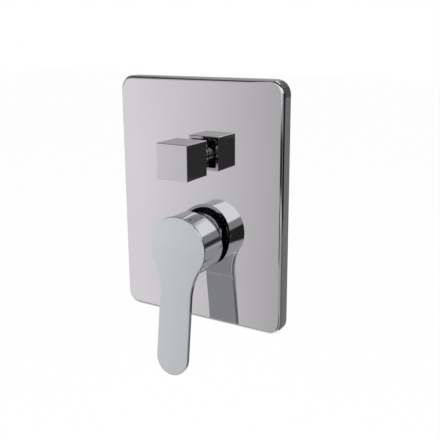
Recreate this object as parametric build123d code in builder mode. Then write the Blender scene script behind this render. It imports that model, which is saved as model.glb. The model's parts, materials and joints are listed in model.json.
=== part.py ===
from build123d import *
import math
import os

# A concealed single-lever shower mixer with a two-way diverter, in millimetres.
# X runs to the right, Y into the wall and Z up. The origin is the centre of the trim plate on the
# finished wall. Distances named out, front or rear are measured out of the wall, towards -Y, so
# what lies inside the wall has a negative distance.

# Trim plate: a pressed tray with a rolled front edge
plate_width = 134.0
plate_height = 180.0
plate_depth = 10.0
plate_sheet = 1.5
plate_corner_radius = 10.0
plate_edge_radius = 2.5
seal_width = 6.0
seal_clearance = 0.2

# Heights of the two control axes above the plate's centre
mixer_height = -26.5
diverter_height = 35.5

# Fits shared by the pieces
running_clearance = 0.1
slip_clearance = 0.2
plate_hole_clearance = 0.4
ring_clearance = 0.05

# Lever handle: a cup-shaped head and a flat lever cast in one
head_radius = 23.0
head_length = 24.1
head_gap = 4.7
head_wall = 2.2
head_face_wall = 3.2
relief_angle = 15.0
relief_start = -2.0
lever_reach = 92.0
lever_tip_radius = 13.3
lever_flare_angle = 0.4
lever_thickness = 4.6
lever_tip_thickness = 2.8
lever_lean_angle = 6.7
lever_bend_radius = 80.0
lever_bend_start = 5.0
neck_radius = 40.0
handle_edge_radius = 0.8
lever_back_radius = 1.5
boss_radius = 8.0
boss_length = 9.1
screw_web_width = 11.0
screw_web_length = 9.8
handle_screw_setback = 4.0
handle_screw_radius = 2.45
handle_screw_length = 6.0
handle_screw_key = 2.5
index_plug_radius = 2.9
index_plug_length = 3.0

# Mixing cartridge, with its spindle pivot
pivot_out = 3.0
spindle_side = 8.0
socket_wall = 1.9
spindle_edge = 0.8
spindle_shank_rear = -2.0
spindle_neck_radius = 2.3
ball_radius = 3.0
ball_out = -8.0
pivot_pin_radius = 1.5
pivot_pin_length = 19.6

cartridge_radius = 17.4
cartridge_shoulder = -2.0
cartridge_wall = 1.8
cartridge_neck_radius = 12.5
cartridge_neck_front = 13.0
neck_wall = 1.9
shoulder_thickness = 2.0
base_front = -24.0
base_thickness = 4.5
spigot_length = 4.0
base_port_radius = 3.4
base_port_offset = 8.0
base_seal_height = 1.5
base_seal_width = 1.1
base_peg_radius = 1.5
base_peg_length = 2.0
base_peg_spacing = 24.0
disc_thickness = 4.0
fixed_disc_radius = 14.6
sliding_disc_radius = 11.0
sliding_pocket_radius = 4.5
sliding_pocket_span = 6.0
sliding_pocket_rise = 4.2
sliding_pocket_depth = 1.6
disc_film = 0.05
carrier_front = -6.4
rotor_flange_radius = 15.2
rotor_flange_thickness = 1.5
rotor_front = 12.0
rotor_slot_height = 17.2
rail_width = 2.0
rail_length = 12.0

# Cartridge nut and the domed cap over it
nut_thread_radius = 19.0
nut_thread_front = 5.0
nut_front = 12.0
nut_bore_clearance = 0.5
cap_radius = 18.5
cap_wall = 1.5
cap_stand = 5.0
cap_opening_radius = 13.0
cap_ring_section = 0.65

# Diverter: square knob, spindle, screw-in headwork and its sleeve
knob_side = 25.0
knob_gap = 8.0
knob_edge_radius = 0.5
knob_wall = 2.2
knob_face_wall = 3.0
knob_boss_radius = 6.8
knob_boss_setback = 2.0
knob_rib_width = 6.5
knob_socket_depth = 14.5
knob_screw_radius = 1.95
knob_screw_length = 6.0
knob_screw_key = 2.0
knob_screw_setback = 7.7
diverter_spindle_radius = 4.0
spindle_flat_depth = 0.8
spindle_entry = 13.7
driver_radius = 7.5
driver_front = -8.0
driver_thickness = 8.0
driver_tang_width = 3.0
driver_tang_depth = 1.5
diverter_disc_thickness = 4.0
diverter_port_radius = 2.4
diverter_port_offset = 4.2
diverter_turn_angle = 90.0
headwork_thread_radius = 11.0
headwork_thread_rear = -13.0
headwork_cage_radius = 9.4
headwork_cage_wall = 1.5
headwork_neck_radius = 8.0
neck_setback = 2.6
headwork_cavity_front = -6.0
headwork_hex_width = 22.0
headwork_hex_height = 6.0
cage_window_width = 6.0
cage_window_length = 7.0
spindle_ring_section = 0.5
spindle_ring_outs = (2.0, 6.0)
sleeve_radius = 9.5
sleeve_knob_gap = 1.7
sleeve_ring_section = 0.5
diverter_seal_height = 2.5
diverter_seal_width = 2.4

# Cast brass valve body
tower_front = -1.0
chamber_wall = 3.3
tower_wall = 4.4
chamber_floor_thickness = 4.0
pipe_depth = 37.0
port_reach_side = 43.0
port_reach_top = 76.0
port_reach_bottom = 76.0
port_radius = 13.5
port_length = 17.0
port_thread_radius = 9.5
port_thread_length = 15.0
port_passage_radius = 6.5
port_passage_length = 8.0
trunk_radius = 11.5
bridge_width = 18.0
bridge_setback = 1.5
lug_spacing = 60.0
lug_width = 15.0
lug_thickness = 5.5
lug_hole_radius = 2.75
lug_height = 8.0
lug_standoff = 1.0
cast_edge = 1.0

# Distances out that several pieces share
head_rim = plate_depth + head_gap
head_face = head_rim + head_length
cup_floor = head_face - head_face_wall
socket_front = cup_floor - socket_wall
spindle_front = socket_front - slip_clearance
cap_cylinder_front = plate_depth + cap_stand
knob_rear = plate_depth + knob_gap
knob_front = knob_rear + knob_side
sleeve_front = knob_rear - sleeve_knob_gap
headwork_neck_front = sleeve_front - neck_setback
diverter_spindle_front = knob_rear + spindle_entry
body_rear = -(pipe_depth + port_radius + lug_standoff)
bridge_front = tower_front - bridge_setback

# Section planes hold (radius, distance out) and the side plane (distance out, height)
mixer_section = Plane(origin=(0, 0, mixer_height), x_dir=(1, 0, 0), z_dir=(0, 0, -1))
diverter_section = Plane(origin=(0, 0, diverter_height), x_dir=(1, 0, 0), z_dir=(0, 0, -1))
mixer_side = Plane(origin=(0, 0, mixer_height), x_dir=(0, -1, 0), z_dir=(-1, 0, 0))
mixer_axis = Axis((0, 0, mixer_height), (0, -1, 0))
diverter_axis = Axis((0, 0, diverter_height), (0, -1, 0))


def wall_plane(out):
    """The plane parallel to the wall at that distance out, with X to the right and Z up."""
    return Plane.XZ.offset(out)


def mixer_plane(out):
    """A plane parallel to the wall, centred on the mixer's axis."""
    return Plane(origin=(0, -out, mixer_height), x_dir=(1, 0, 0), z_dir=(0, -1, 0))


def diverter_plane(out):
    """A plane parallel to the wall, centred on the diverter's axis."""
    return Plane(origin=(0, -out, diverter_height), x_dir=(1, 0, 0), z_dir=(0, -1, 0))


def outer_edges(faces):
    """The edges that belong to only one of these faces, so the outline of the patch they make."""
    edges = [edge for face in faces for edge in face.edges()]
    return ShapeList(edge for edge in edges if edges.count(edge) == 1)


os.makedirs("parts", exist_ok=True)


def write(builder, name):
    """Labels a finished piece and writes its STEP file."""
    builder.part.label = name
    export_step(builder.part, f"parts/{name}.step")


# Trim plate and its foam seal
sheet_rear = plate_depth - plate_sheet
cap_hole_radius = cap_radius + plate_hole_clearance
sleeve_hole_radius = sleeve_radius + plate_hole_clearance

with BuildPart() as face_plate:
    with BuildSketch(wall_plane(0)):
        RectangleRounded(plate_width, plate_height, plate_corner_radius)
    extrude(amount=plate_depth)
    fillet(face_plate.faces().sort_by(Axis.Y)[0].edges(), plate_edge_radius)
    offset(amount=-plate_sheet, openings=face_plate.faces().sort_by(Axis.Y)[-1])
    with BuildSketch(mixer_plane(0)):
        Circle(cap_hole_radius)
    extrude(amount=plate_depth, mode=Mode.SUBTRACT)
    with BuildSketch(diverter_plane(0)):
        Circle(sleeve_hole_radius)
    extrude(amount=plate_depth, mode=Mode.SUBTRACT)
write(face_plate, "face_plate")

seal_inset = plate_edge_radius + seal_clearance
with BuildPart() as plate_seal:
    with BuildSketch(wall_plane(0)):
        RectangleRounded(
            plate_width - 2 * seal_inset, plate_height - 2 * seal_inset, plate_corner_radius - plate_sheet
        )
        offset(amount=-seal_width, mode=Mode.SUBTRACT)
    extrude(amount=sheet_rear)
write(plate_seal, "plate_seal")

# Domed cap: a sleeve through the plate that closes in a dome about the lever's pivot
dome_radius = math.hypot(cap_radius, cap_cylinder_front - pivot_out)
dome_inner_radius = dome_radius - cap_wall
cap_inner_radius = cap_radius - cap_wall
ring_groove_out = sheet_rear + plate_sheet / 2


def dome_out(radius, sphere):
    """How far out a sphere about the pivot lies at that radius from the mixer's axis."""
    return pivot_out + math.sqrt(sphere**2 - radius**2)


def dome_middle(radius, other_radius, sphere):
    """A point of the sphere's arc between two radii."""
    middle = (radius + other_radius) / 2
    return (middle, dome_out(middle, sphere))


cap_groove_radius = cap_hole_radius - ring_clearance - 2 * cap_ring_section - ring_clearance
cap_groove_half = cap_ring_section + ring_clearance
with BuildPart() as dome_cap:
    with BuildSketch(mixer_section):
        with BuildLine():
            outer_start = (cap_radius, cap_cylinder_front)
            outer_end = (cap_opening_radius, dome_out(cap_opening_radius, dome_radius))
            inner_start = (cap_opening_radius, dome_out(cap_opening_radius, dome_inner_radius))
            inner_end = (cap_inner_radius, dome_out(cap_inner_radius, dome_inner_radius))
            ThreePointArc(outer_start, dome_middle(cap_radius, cap_opening_radius, dome_radius), outer_end)
            Line(outer_end, inner_start)
            ThreePointArc(
                inner_start, dome_middle(cap_opening_radius, cap_inner_radius, dome_inner_radius), inner_end
            )
            Polyline(
                inner_end, (cap_inner_radius, nut_thread_front), (cap_radius, nut_thread_front), outer_start
            )
        make_face()
    revolve(axis=mixer_axis)
    with BuildSketch(mixer_section):
        Polygon(
            (cap_groove_radius, ring_groove_out - cap_groove_half),
            (cap_hole_radius, ring_groove_out - cap_groove_half),
            (cap_hole_radius, ring_groove_out + cap_groove_half),
            (cap_groove_radius, ring_groove_out + cap_groove_half),
            align=None,
        )
    revolve(axis=mixer_axis, mode=Mode.SUBTRACT)
write(dome_cap, "dome_cap")

with BuildPart() as cap_ring:
    with BuildSketch(mixer_section):
        with Locations((cap_groove_radius + ring_clearance + cap_ring_section, ring_groove_out)):
            Circle(cap_ring_section)
    revolve(axis=mixer_axis)
write(cap_ring, "cap_ring")

# Cartridge nut: threaded skirt in the body, hexagon inside the cap
nut_bore_radius = cartridge_neck_radius + nut_bore_clearance
with BuildPart() as cartridge_nut:
    with BuildSketch(mixer_plane(cartridge_shoulder)):
        Circle(nut_thread_radius)
    extrude(amount=nut_thread_front - cartridge_shoulder)
    with BuildSketch(mixer_plane(nut_thread_front)):
        RegularPolygon(radius=cap_inner_radius - slip_clearance, side_count=6)
    extrude(amount=nut_front - nut_thread_front)
    with BuildSketch(mixer_plane(cartridge_shoulder)):
        Circle(nut_bore_radius)
    extrude(amount=nut_front - cartridge_shoulder, mode=Mode.SUBTRACT)
write(cartridge_nut, "cartridge_nut")

# Cartridge housing, base and seals
cavity_radius = cartridge_radius - cartridge_wall
cavity_front = cartridge_shoulder - shoulder_thickness
neck_bore_radius = cartridge_neck_radius - neck_wall
with BuildPart() as cartridge_housing:
    with BuildSketch(mixer_section):
        Polygon(
            (cavity_radius, base_front),
            (cartridge_radius, base_front),
            (cartridge_radius, cartridge_shoulder),
            (cartridge_neck_radius, cartridge_shoulder),
            (cartridge_neck_radius, cartridge_neck_front),
            (neck_bore_radius, cartridge_neck_front),
            (neck_bore_radius, cavity_front),
            (cavity_radius, cavity_front),
            align=None,
        )
    revolve(axis=mixer_axis)
write(cartridge_housing, "cartridge_housing")

base_rear = base_front - base_thickness
seal_seat = base_rear + base_seal_height / 2
chamber_floor = seal_seat - base_seal_height
fixed_disc_rear = base_front + spigot_length
fixed_disc_front = fixed_disc_rear + disc_thickness
with BuildPart() as cartridge_base:
    with BuildSketch(mixer_plane(base_rear)):
        Circle(cartridge_radius)
    extrude(amount=base_thickness)
    with BuildSketch(mixer_plane(base_front)):
        Circle(cavity_radius - slip_clearance)
    extrude(amount=spigot_length)
    with BuildSketch(mixer_plane(base_rear - base_peg_length)):
        with GridLocations(base_peg_spacing, 0, 2, 1):
            Circle(base_peg_radius)
    extrude(amount=base_peg_length)
    with BuildSketch(mixer_plane(base_rear)):
        with PolarLocations(base_port_offset, 3, start_angle=90):
            Circle(base_port_radius)
    extrude(amount=base_thickness + spigot_length, mode=Mode.SUBTRACT)
    with BuildSketch(mixer_plane(base_rear)):
        with PolarLocations(base_port_offset, 3, start_angle=90):
            Circle(base_port_radius + base_seal_width)
    extrude(amount=seal_seat - base_rear, mode=Mode.SUBTRACT)
write(cartridge_base, "cartridge_base")

with BuildPart() as base_seals:
    with BuildSketch(mixer_plane(chamber_floor)):
        with PolarLocations(base_port_offset, 3, start_angle=90):
            Circle(base_port_radius + base_seal_width)
            Circle(base_port_radius, mode=Mode.SUBTRACT)
    extrude(amount=base_seal_height)
write(base_seals, "base_seals")

# Ceramic discs: the fixed one keeps three ports, the sliding one opens over them
with BuildPart() as fixed_disc:
    with BuildSketch(mixer_plane(fixed_disc_rear)):
        Circle(fixed_disc_radius)
        with PolarLocations(base_port_offset, 3, start_angle=90):
            Circle(base_port_radius, mode=Mode.SUBTRACT)
    extrude(amount=disc_thickness)
write(fixed_disc, "fixed_disc")

sliding_disc_rear = fixed_disc_front + disc_film
sliding_disc_front = sliding_disc_rear + disc_thickness
with BuildPart() as sliding_disc:
    with BuildSketch(mixer_plane(sliding_disc_rear)):
        Circle(sliding_disc_radius)
    extrude(amount=disc_thickness)
    with BuildSketch(mixer_plane(sliding_disc_rear)):
        with Locations((0, sliding_pocket_rise)):
            SlotCenterToCenter(sliding_pocket_span, 2 * sliding_pocket_radius)
    extrude(amount=sliding_pocket_depth, mode=Mode.SUBTRACT)
write(sliding_disc, "sliding_disc")

carrier_pocket_radius = ball_radius + slip_clearance
with BuildPart() as disc_carrier:
    with BuildSketch(mixer_plane(sliding_disc_front)):
        Circle(sliding_disc_radius)
        Circle(carrier_pocket_radius, mode=Mode.SUBTRACT)
    extrude(amount=carrier_front - sliding_disc_front)
write(disc_carrier, "disc_carrier")

# Turning collar: held in the cartridge's neck, it carries the pivot pin and guides the disc carrier
rotor_rear = cavity_front - slip_clearance - rotor_flange_thickness
rail_offset = sliding_disc_radius + slip_clearance + rail_width / 2
with BuildPart() as turning_collar:
    with BuildSketch(mixer_plane(rotor_rear)):
        Circle(rotor_flange_radius)
    extrude(amount=rotor_flange_thickness)
    with BuildSketch(mixer_plane(rotor_rear)):
        Circle(neck_bore_radius - running_clearance)
    extrude(amount=rotor_front - rotor_rear)
    with BuildSketch(mixer_plane(sliding_disc_front)):
        with GridLocations(2 * rail_offset, 0, 2, 1):
            Rectangle(rail_width, rail_length)
    extrude(amount=rotor_rear - sliding_disc_front)
    with BuildSketch(mixer_plane(rotor_rear)):
        Rectangle(spindle_side + 2 * slip_clearance, rotor_slot_height)
    extrude(amount=rotor_front - rotor_rear, mode=Mode.SUBTRACT)
    with BuildSketch(mixer_side):
        with Locations((pivot_out, 0)):
            Circle(pivot_pin_radius)
    extrude(amount=pivot_pin_length / 2, both=True, mode=Mode.SUBTRACT)
write(turning_collar, "turning_collar")

with BuildPart() as pivot_pin:
    with BuildSketch(mixer_side):
        with Locations((pivot_out, 0)):
            Circle(pivot_pin_radius)
    extrude(amount=pivot_pin_length / 2, both=True)
write(pivot_pin, "pivot_pin")

# Lever spindle: square shank on the pivot pin, ball end in the disc carrier
with BuildPart() as lever_spindle:
    with BuildSketch(mixer_plane(spindle_shank_rear)):
        Rectangle(spindle_side, spindle_side)
        chamfer(vertices(), spindle_edge)
    extrude(amount=spindle_front - spindle_shank_rear)
    with BuildSketch(mixer_plane(ball_out)):
        Circle(spindle_neck_radius)
    extrude(amount=spindle_shank_rear - ball_out)
    with Locations((0, -ball_out, mixer_height)):
        Sphere(ball_radius)
    with BuildSketch(mixer_side):
        with Locations((pivot_out, 0)):
            Circle(pivot_pin_radius + running_clearance / 2)
    extrude(amount=spindle_side, both=True, mode=Mode.SUBTRACT)
write(lever_spindle, "lever_spindle")

# Lever handle outline: head circle, neck arc, flared side and round tip, all tangent
flare = math.radians(lever_flare_angle)
side_normal = Vector(math.cos(flare), math.sin(flare))
side_along = Vector(math.sin(flare), -math.cos(flare))
tip_centre = Vector(0, lever_tip_radius - lever_reach)
side_offset = lever_tip_radius + side_normal.dot(tip_centre)
neck_along = math.sqrt((head_radius + neck_radius) ** 2 - (side_offset + neck_radius) ** 2)
neck_centre = side_normal * (side_offset + neck_radius) + side_along * neck_along
head_point = neck_centre * (head_radius / (head_radius + neck_radius))
neck_point = neck_centre - side_normal * neck_radius
neck_middle = neck_centre + ((head_point + neck_point) * 0.5 - neck_centre).normalized() * neck_radius
tip_point = tip_centre + side_normal * lever_tip_radius
head_middle = Vector(head_point.X, head_point.Y + head_radius).normalized() * head_radius
tip_middle = tip_centre + Vector(1, -1).normalized() * lever_tip_radius

# Lever handle side view: flat over the head, then bent out of the wall and thinner to the tip
lean = math.radians(lever_lean_angle)
lean_along = Vector(math.sin(lean), -math.cos(lean))
lean_back = Vector(-math.cos(lean), -math.sin(lean))
bend_centre = Vector(head_face + lever_bend_radius, lever_bend_start)
front_bend_end = bend_centre + lean_back * lever_bend_radius
front_end = front_bend_end + lean_along * lever_reach
head_back = head_face - lever_thickness
back_bend_end = front_bend_end + lean_back * lever_thickness
back_end = front_end + lean_back * lever_tip_thickness
bend_half = Vector(-math.cos(lean / 2), -math.sin(lean / 2))

cup_radius = head_radius - head_wall
relief_rise = math.tan(math.radians(relief_angle))
boss_rear = cup_floor - boss_length
web_rear = cup_floor - screw_web_length
handle_screw_out = web_rear + handle_screw_setback
screw_hole_radius = handle_screw_radius + ring_clearance
plug_hole_radius = index_plug_radius + ring_clearance
screw_top = -(spindle_side / 2 + ring_clearance)
screw_bottom = screw_top - handle_screw_length
handle_screw_plane = Plane(origin=(0, -handle_screw_out, mixer_height), x_dir=(1, 0, 0), z_dir=(0, 0, -1))

with BuildPart() as lever_handle:
    with BuildSketch(mixer_plane(head_back)):
        with BuildLine():
            ThreePointArc((0, head_radius), head_middle, head_point)
            ThreePointArc(head_point, neck_middle, neck_point)
            Line(neck_point, tip_point)
            ThreePointArc(tip_point, tip_middle, (0, -lever_reach))
            mirror(about=Plane.YZ)
        make_face()
    extrude(amount=lever_reach)
    with BuildSketch(mixer_side):
        with BuildLine():
            Line((head_face, lever_reach), (head_face, lever_bend_start))
            ThreePointArc(
                (head_face, lever_bend_start), bend_centre + bend_half * lever_bend_radius, front_bend_end
            )
            Polyline(front_bend_end, front_end, back_end, back_bend_end)
            ThreePointArc(
                back_bend_end,
                bend_centre + bend_half * (lever_bend_radius + lever_thickness),
                (head_back, lever_bend_start),
            )
            Polyline((head_back, lever_bend_start), (head_back, lever_reach), (head_face, lever_reach))
        make_face()
    extrude(amount=lever_reach, both=True, mode=Mode.INTERSECT)
    back_faces = lever_handle.faces().filter_by(lambda face: face.normal_at().Y > 0.9)
    fillet(outer_edges(back_faces), lever_back_radius)
    with BuildSketch(mixer_plane(head_rim)):
        Circle(head_radius)
    extrude(amount=head_face - head_rim)
    front_faces = lever_handle.faces().filter_by(lambda face: face.normal_at().Y < -0.9)
    fillet(outer_edges(front_faces), handle_edge_radius)
    with BuildSketch(mixer_side):
        Polygon(
            (head_rim, relief_start),
            (head_rim + (lever_reach - relief_start) * relief_rise, lever_reach),
            (head_rim, lever_reach),
            align=None,
        )
    extrude(amount=lever_reach, both=True, mode=Mode.SUBTRACT)
    with BuildSketch(mixer_plane(head_rim)):
        Circle(cup_radius)
    extrude(amount=cup_floor - head_rim, mode=Mode.SUBTRACT)
    with BuildSketch(mixer_plane(boss_rear)):
        Circle(boss_radius)
    extrude(amount=boss_length)
    with BuildSketch(mixer_plane(web_rear)):
        Rectangle(screw_web_width, cup_radius + head_wall / 2, align=(Align.CENTER, Align.MAX))
    extrude(amount=screw_web_length)
    with BuildSketch(mixer_plane(web_rear)):
        Rectangle(spindle_side + 2 * running_clearance, spindle_side + 2 * running_clearance)
    extrude(amount=socket_front - web_rear, mode=Mode.SUBTRACT)
    with BuildSketch(handle_screw_plane):
        Circle(screw_hole_radius)
    extrude(amount=head_radius, mode=Mode.SUBTRACT)
    with BuildSketch(handle_screw_plane.offset(-screw_bottom)):
        Circle(plug_hole_radius)
    extrude(amount=head_radius, mode=Mode.SUBTRACT)
write(lever_handle, "lever_handle")

with BuildPart() as handle_screw:
    with BuildSketch(handle_screw_plane.offset(-screw_top)):
        Circle(handle_screw_radius)
    extrude(amount=handle_screw_length)
    with BuildSketch(handle_screw_plane.offset(-screw_bottom)):
        RegularPolygon(radius=handle_screw_key / 2, side_count=6, major_radius=False)
    extrude(amount=-handle_screw_length / 2, mode=Mode.SUBTRACT)
write(handle_screw, "handle_screw")

plug_start = math.sqrt(head_radius**2 - index_plug_radius**2) - index_plug_length
with BuildPart() as index_plug:
    with BuildSketch(handle_screw_plane.offset(plug_start)):
        Circle(index_plug_radius)
    extrude(amount=index_plug_length)
write(index_plug, "index_plug")

# Diverter knob: a square cup with a boss on the spindle and a rib for the grub screw from below
knob_screw_out = knob_rear + knob_screw_setback
knob_cup_depth = knob_side - knob_face_wall
knob_socket_radius = diverter_spindle_radius + ring_clearance
knob_screw_plane = Plane(origin=(0, -knob_screw_out, diverter_height), x_dir=(1, 0, 0), z_dir=(0, 0, -1))
knob_screw_top = diverter_spindle_radius - spindle_flat_depth + ring_clearance
with BuildPart() as diverter_knob:
    with BuildSketch(diverter_plane(knob_rear)):
        Rectangle(knob_side, knob_side)
    extrude(amount=knob_side)
    fillet(diverter_knob.edges(), knob_edge_radius)
    with BuildSketch(diverter_plane(knob_rear)):
        RectangleRounded(knob_side - 2 * knob_wall, knob_side - 2 * knob_wall, knob_wall)
    extrude(amount=knob_cup_depth, mode=Mode.SUBTRACT)
    with BuildSketch(diverter_plane(knob_rear + knob_boss_setback)):
        Circle(knob_boss_radius)
        Rectangle(knob_rib_width, (knob_side - knob_wall) / 2, align=(Align.CENTER, Align.MAX))
    extrude(amount=knob_cup_depth - knob_boss_setback)
    with BuildSketch(diverter_plane(knob_rear)):
        Circle(knob_socket_radius)
    extrude(amount=knob_socket_depth, mode=Mode.SUBTRACT)
    with BuildSketch(knob_screw_plane):
        Circle(knob_screw_radius + ring_clearance)
    extrude(amount=knob_side, mode=Mode.SUBTRACT)
write(diverter_knob, "diverter_knob")

with BuildPart() as knob_screw:
    with BuildSketch(knob_screw_plane.offset(knob_screw_top)):
        Circle(knob_screw_radius)
    extrude(amount=knob_screw_length)
    with BuildSketch(knob_screw_plane.offset(knob_screw_top + knob_screw_length)):
        RegularPolygon(radius=knob_screw_key / 2, side_count=6, major_radius=False)
    extrude(amount=-knob_screw_length / 2, mode=Mode.SUBTRACT)
write(knob_screw, "knob_screw")

# Diverter spindle with its driver, tang, flat and ring grooves
driver_rear = driver_front - driver_thickness
spindle_groove_radius = diverter_spindle_radius - 2 * spindle_ring_section + ring_clearance
spindle_groove_half = spindle_ring_section + ring_clearance
with BuildPart() as diverter_spindle:
    with BuildSketch(diverter_plane(driver_front)):
        Circle(diverter_spindle_radius)
    extrude(amount=diverter_spindle_front - driver_front)
    with BuildSketch(diverter_plane(driver_rear)):
        Circle(driver_radius)
    extrude(amount=driver_thickness)
    with BuildSketch(diverter_plane(driver_rear)):
        Rectangle(driver_tang_width, 1.6 * driver_radius)
    extrude(amount=-driver_tang_depth)
    with BuildSketch(diverter_plane(knob_rear + knob_boss_setback)):
        with Locations((0, spindle_flat_depth - diverter_spindle_radius)):
            Rectangle(
                2 * diverter_spindle_radius, diverter_spindle_radius, align=(Align.CENTER, Align.MAX)
            )
    extrude(amount=diverter_spindle_front, mode=Mode.SUBTRACT)
    with BuildSketch(diverter_section):
        for ring_out in spindle_ring_outs:
            with Locations((spindle_groove_radius, ring_out)):
                Rectangle(
                    diverter_spindle_radius, 2 * spindle_groove_half, align=(Align.MIN, Align.CENTER)
                )
    revolve(axis=diverter_axis, mode=Mode.SUBTRACT)
write(diverter_spindle, "diverter_spindle")

with BuildPart() as spindle_rings:
    with BuildSketch(diverter_section):
        for ring_out in spindle_ring_outs:
            with Locations((diverter_spindle_radius + ring_clearance - spindle_ring_section, ring_out)):
                Circle(spindle_ring_section - ring_clearance / 2)
    revolve(axis=diverter_axis)
write(spindle_rings, "spindle_rings")

diverter_disc_front = driver_rear
diverter_disc_rear = diverter_disc_front - diverter_disc_thickness
with BuildPart() as diverter_turning_disc:
    with BuildSketch(diverter_plane(diverter_disc_rear)):
        Circle(driver_radius)
        with Locations((0, -diverter_port_offset)):
            Circle(diverter_port_radius, mode=Mode.SUBTRACT)
    extrude(amount=diverter_disc_thickness)
    with BuildSketch(diverter_plane(diverter_disc_front)):
        Rectangle(driver_tang_width + 2 * ring_clearance, 1.6 * driver_radius + 2 * ring_clearance)
    extrude(amount=-driver_tang_depth - ring_clearance, mode=Mode.SUBTRACT)
write(diverter_turning_disc, "diverter_turning_disc")

# Diverter headwork, its fixed disc and bottom seal
cage_bore_radius = headwork_cage_radius - headwork_cage_wall
diverter_fixed_front = diverter_disc_rear - disc_film
diverter_fixed_rear = diverter_fixed_front - diverter_disc_thickness
diverter_floor = diverter_fixed_rear - diverter_seal_height
cage_rear = diverter_floor + slip_clearance
hex_front = tower_front + headwork_hex_height
spindle_bore_radius = diverter_spindle_radius + running_clearance
with BuildPart() as diverter_headwork:
    with BuildSketch(diverter_section):
        Polygon(
            (cage_bore_radius, cage_rear),
            (headwork_cage_radius, cage_rear),
            (headwork_cage_radius, headwork_thread_rear),
            (headwork_thread_radius, headwork_thread_rear),
            (headwork_thread_radius, tower_front),
            (headwork_neck_radius, tower_front),
            (headwork_neck_radius, headwork_neck_front),
            (spindle_bore_radius, headwork_neck_front),
            (spindle_bore_radius, headwork_cavity_front),
            (cage_bore_radius, headwork_cavity_front),
            align=None,
        )
    revolve(axis=diverter_axis)
    with BuildSketch(diverter_plane(tower_front)):
        RegularPolygon(radius=headwork_hex_width / 2, side_count=6, major_radius=False)
        Circle(spindle_bore_radius, mode=Mode.SUBTRACT)
    extrude(amount=headwork_hex_height)
    with BuildSketch(diverter_plane(cage_rear + headwork_cage_wall)):
        Rectangle(3 * headwork_cage_radius, cage_window_width)
        Circle(cage_bore_radius, mode=Mode.SUBTRACT)
    extrude(amount=cage_window_length, mode=Mode.SUBTRACT)
write(diverter_headwork, "diverter_headwork")

fixed_fit_radius = cage_bore_radius - ring_clearance
with BuildPart() as diverter_fixed_disc:
    with BuildSketch(diverter_plane(diverter_fixed_rear)):
        Circle(fixed_fit_radius)
        with PolarLocations(diverter_port_offset, 2, start_angle=-90, angular_range=2 * diverter_turn_angle):
            Circle(diverter_port_radius, mode=Mode.SUBTRACT)
    extrude(amount=diverter_disc_thickness)
write(diverter_fixed_disc, "diverter_fixed_disc")

with BuildPart() as diverter_seal:
    with BuildSketch(diverter_plane(diverter_floor)):
        Circle(fixed_fit_radius)
        Circle(fixed_fit_radius - diverter_seal_width, mode=Mode.SUBTRACT)
    extrude(amount=diverter_seal_height)
write(diverter_seal, "diverter_seal")

# Diverter sleeve through the plate, with its ring
sleeve_bore_radius = headwork_neck_radius + slip_clearance
sleeve_groove_radius = sleeve_hole_radius - 2 * ring_clearance - 2 * sleeve_ring_section
sleeve_groove_half = sleeve_ring_section + ring_clearance
with BuildPart() as diverter_sleeve:
    with BuildSketch(diverter_section):
        Polygon(
            (sleeve_bore_radius, hex_front),
            (sleeve_radius, hex_front),
            (sleeve_radius, ring_groove_out - sleeve_groove_half),
            (sleeve_groove_radius, ring_groove_out - sleeve_groove_half),
            (sleeve_groove_radius, ring_groove_out + sleeve_groove_half),
            (sleeve_radius, ring_groove_out + sleeve_groove_half),
            (sleeve_radius, sleeve_front),
            (sleeve_bore_radius, sleeve_front),
            align=None,
        )
    revolve(axis=diverter_axis)
write(diverter_sleeve, "diverter_sleeve")

with BuildPart() as sleeve_ring:
    with BuildSketch(diverter_section):
        with Locations((sleeve_groove_radius + ring_clearance + sleeve_ring_section, ring_groove_out)):
            Circle(sleeve_ring_section)
    revolve(axis=diverter_axis)
write(sleeve_ring, "sleeve_ring")

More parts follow.
